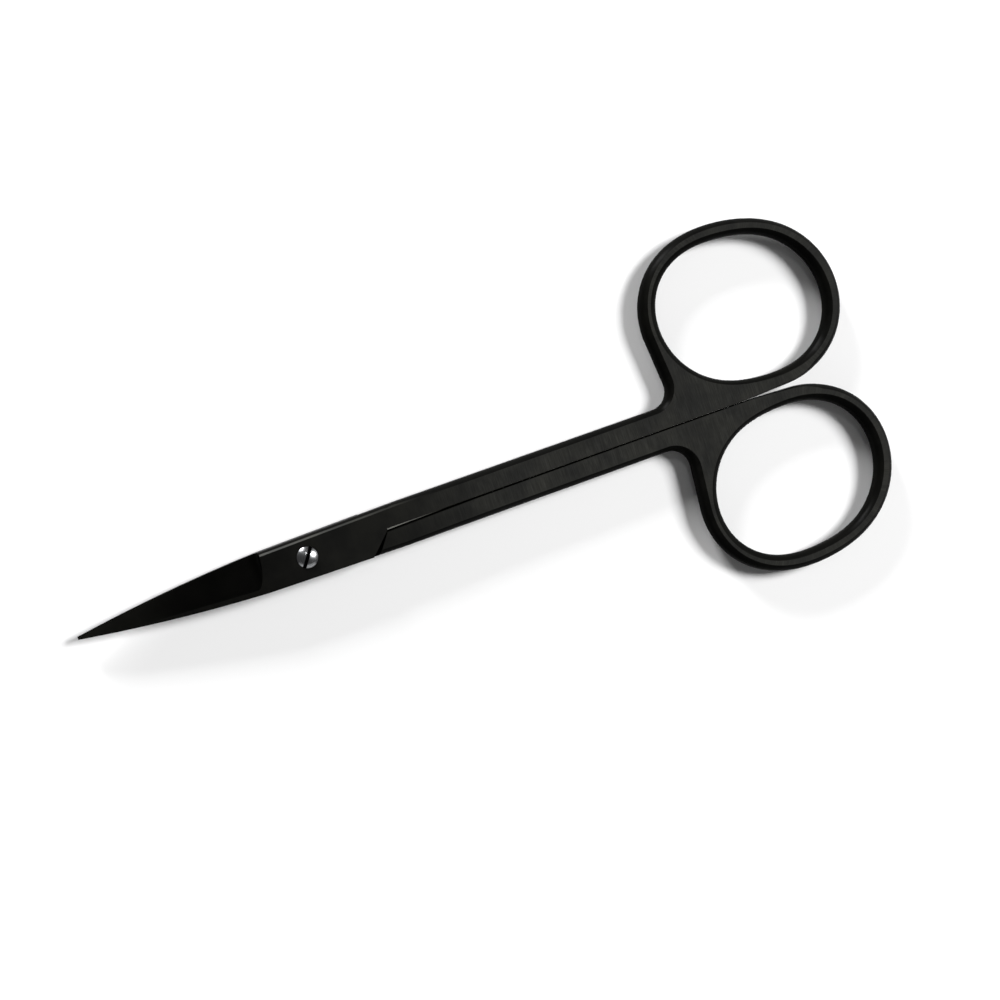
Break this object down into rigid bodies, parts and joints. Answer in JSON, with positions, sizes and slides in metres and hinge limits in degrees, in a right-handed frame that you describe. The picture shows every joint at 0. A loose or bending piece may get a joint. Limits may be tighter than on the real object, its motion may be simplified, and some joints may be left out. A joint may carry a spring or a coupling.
{
  "type": "iris scissors",
  "caption": "Slender straight scissors with oval finger rings, long shanks, short pointed ground blades and a slotted pivot screw, in black coated steel.",
  "frame": {"origin": "on the pivot axis, on the outer face of the back half at the joint, which is the face that the closed scissors rest on", "axes": "+X along the closed scissors toward the finger rings, with the blades toward -X; +Y toward the front half's ring; +Z along the pivot axis toward the screw's head"},
  "size_m": [0.1201, 0.0524, 0.004],
  "materials": {
    "black_steel": "satin black coating over fine cross-grain grinding, smoother on the ground blade facets",
    "polished_steel": "polished"
  },
  "bodies": {
    "back": {"back_half": "black_steel", "pivot_screw": "polished_steel"},
    "front": {"front_half": "black_steel"}
  },
  "joints": [
    {"name": "blade_pivot", "type": "hinge", "parent": "back", "child": "front", "pos_m": [0, 0, 0.0017], "axis": [0, 0, 1], "range_deg": [0, 55]}
  ]
}
